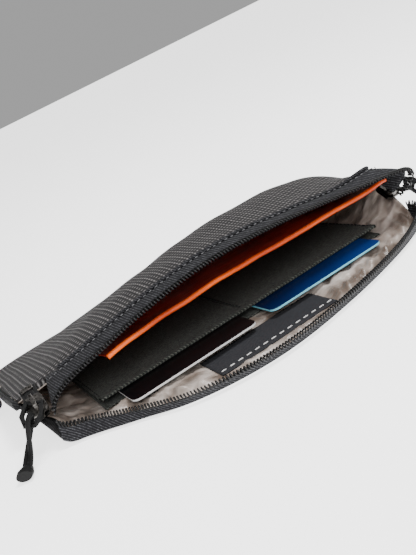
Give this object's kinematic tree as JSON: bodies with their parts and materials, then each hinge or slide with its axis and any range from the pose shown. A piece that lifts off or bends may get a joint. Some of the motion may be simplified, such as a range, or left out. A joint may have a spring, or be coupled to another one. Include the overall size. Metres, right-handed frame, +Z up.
{
  "type": "neck pouch wallet",
  "caption": "Soft zipped neck pouch lying open, with an orange divider, card pockets, sliders with corded pulls and blank cards.",
  "frame": {"origin": "on the underside of the back panel, on the pouch's centre line, half way between the rear seam and the front of the mouth", "axes": "+X across the mouth, +Y from the mouth to the closed rear seam, +Z up from the table through the front panel"},
  "size_m": [0.205, 0.149, 0.0353],
  "materials": {
    "front_weave": "grey patterned ripstop weave with lighter dashes",
    "back_fabric": "plain charcoal woven nylon",
    "satin_lining": "wrinkled silver-beige satin",
    "orange_nylon": "glossy orange nylon taffeta",
    "pocket_weave": "speckled charcoal felt-like weave",
    "zip_tape": "charcoal ribbed woven zip tape",
    "zip_coil": "black nylon coil",
    "black_webbing": "black corded binding",
    "label_fabric": "charcoal woven label",
    "white_thread": "white sewing thread",
    "black_card": null,
    "blue_card": null,
    "gunmetal": "dark nickel plated die casting",
    "black_ring": "black enamelled wire",
    "black_cord": "black braided cord",
    "black_grip": "black moulded grip"
  },
  "bodies": {
    "pouch": {"back_lining": "satin_lining", "back_panel": "back_fabric", "divider": "orange_nylon", "divider_hem": "orange_nylon", "front_lining": "orange_nylon", "front_panel": "front_weave", "label": "label_fabric", "label_stitches": "white_thread", "left_chain_end": "zip_tape", "left_end_stop": "gunmetal", "left_strap_tab": "black_webbing", "lower_tape": "zip_tape", "lower_teeth": "zip_coil", "lower_welt": "black_webbing", "pocket_backing": "pocket_weave", "pocket_hem": "pocket_weave", "pocket_left": "pocket_weave", "pocket_right": "pocket_weave", "pocket_seams": "pocket_weave", "right_chain_end": "zip_tape", "right_end_stop": "gunmetal", "right_strap_tab": "black_webbing", "seam_binding": "black_webbing", "upper_tape": "zip_tape", "upper_teeth": "zip_coil", "upper_welt": "black_webbing"},
    "left_slider": {"left_slider": "gunmetal", "left_bridge": "gunmetal"},
    "left_pull": {"left_pull_ring": "black_ring"},
    "left_cord": {"left_pull_cord": "black_cord", "left_cord_end": "black_grip"},
    "right_slider": {"right_slider": "gunmetal", "right_bridge": "gunmetal"},
    "right_pull": {"right_pull_ring": "black_ring"},
    "right_cord": {"right_pull_cord": "black_cord", "right_cord_end": "black_grip"},
    "card_left": {"card_left": "black_card"},
    "card_right": {"card_right": "blue_card"}
  },
  "joints": [
    {"name": "left_slider_slide", "type": "slide", "parent": "pouch", "child": "left_slider", "axis": [0.0499, 0.799, 0.5993], "range_m": [0, 0.003]},
    {"name": "left_pull_swing", "type": "hinge", "parent": "left_slider", "child": "left_pull", "pos_m": [-0.08398, -0.03007, 0.018], "axis": [-0.8147, 0.5137, 0.269], "range_deg": [0, 35]},
    {"name": "left_cord_swing", "type": "hinge", "parent": "left_pull", "child": "left_cord", "pos_m": [-0.08966, -0.03692, 0.01388], "axis": [-0.8147, 0.5137, 0.269], "range_deg": [0, 25]},
    {"name": "right_slider_slide", "type": "slide", "parent": "pouch", "child": "right_slider", "axis": [-0.0499, 0.799, 0.5993], "range_m": [0, 0.003]},
    {"name": "right_pull_swing", "type": "hinge", "parent": "right_slider", "child": "right_pull", "pos_m": [0.08398, -0.03007, 0.018], "axis": [-0.8147, -0.5137, -0.269], "range_deg": [0, 35]},
    {"name": "right_cord_swing", "type": "hinge", "parent": "right_pull", "child": "right_cord", "pos_m": [0.08966, -0.03692, 0.01388], "axis": [-0.8147, -0.5137, -0.269], "range_deg": [0, 25]},
    {"name": "card_left_slide", "type": "slide", "parent": "pouch", "child": "card_left", "axis": [0, -0.9997, 0.0262], "range_m": [0, 0.06]},
    {"name": "card_right_slide", "type": "slide", "parent": "pouch", "child": "card_right", "axis": [0, -0.9997, 0.0262], "range_m": [0, 0.06]}
  ]
}
